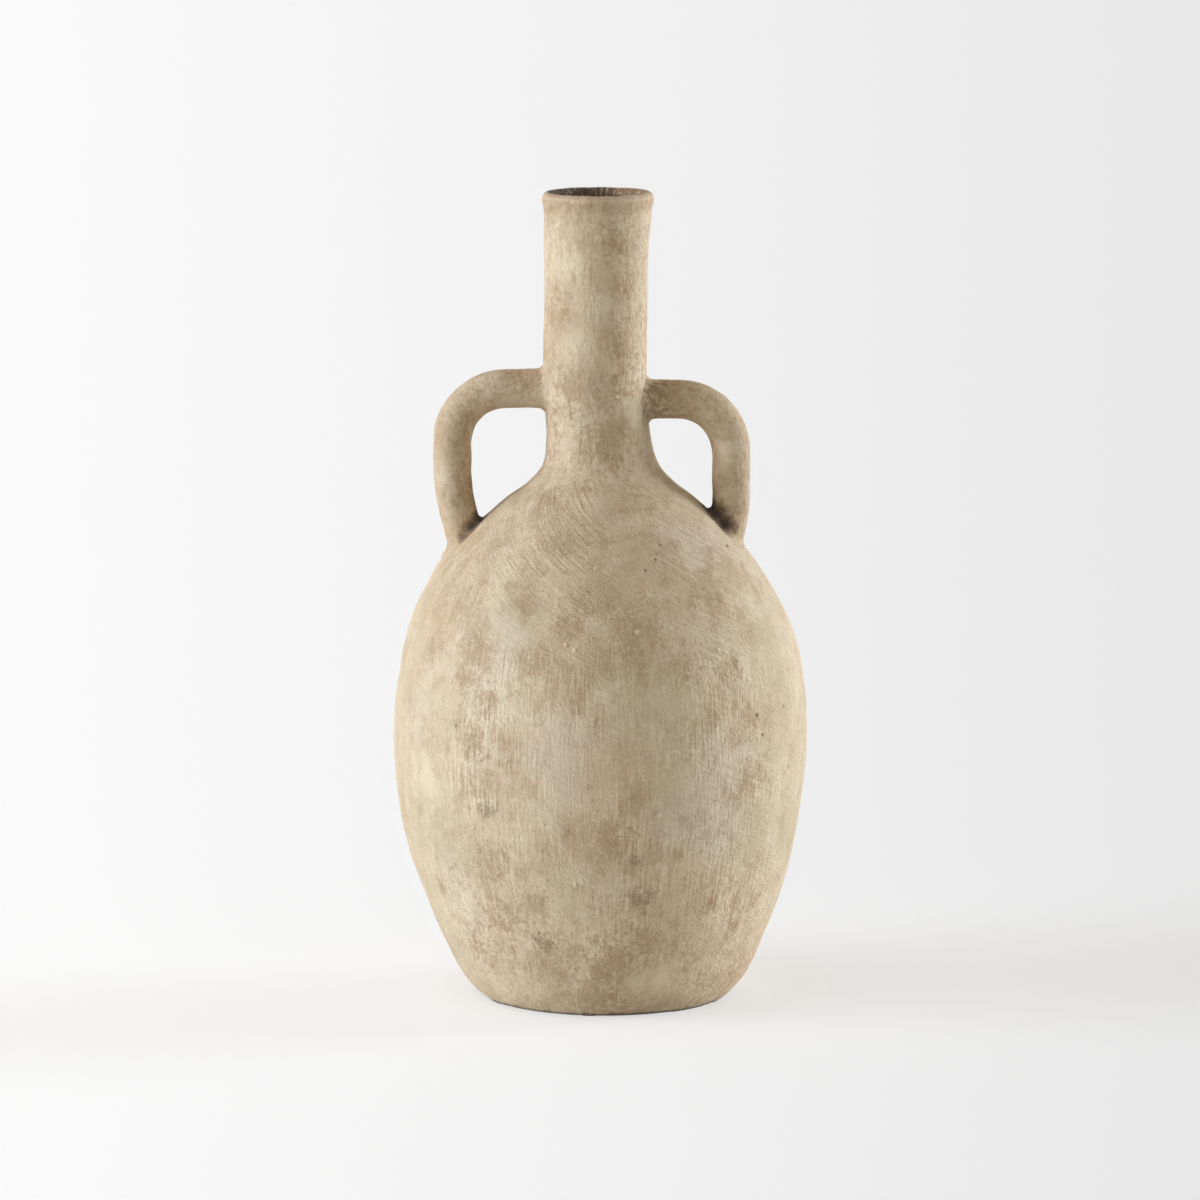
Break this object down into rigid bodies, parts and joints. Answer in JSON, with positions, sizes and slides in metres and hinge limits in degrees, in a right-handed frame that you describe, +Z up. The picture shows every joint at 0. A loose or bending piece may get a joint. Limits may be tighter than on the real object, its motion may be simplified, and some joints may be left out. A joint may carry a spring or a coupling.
{
  "type": "two-handled bottle vase",
  "caption": "Tall earthenware bottle vase with an egg-shaped belly on a small flat foot, a narrow cylindrical neck and a rod handle from neck to shoulder on each side.",
  "frame": {"origin": "centre of the foot's flat resting face, on the belly's axis", "axes": "+Z up along the vessel, +X towards the viewer's right with the handles on -X and +X, +Y away from the viewer"},
  "size_m": [0.2156, 0.2156, 0.42],
  "materials": {
    "earthenware": "dry unglazed clay with a brushed pale slip"
  },
  "bodies": {
    "root": {"floor_slab": "earthenware", "lower_belly": "earthenware", "upper_belly": "earthenware", "neck": "earthenware", "left_handle": "earthenware", "right_handle": "earthenware", "left_neck_collar": "earthenware", "left_shoulder_collar": "earthenware", "right_neck_collar": "earthenware", "right_shoulder_collar": "earthenware"}
  },
  "joints": []
}
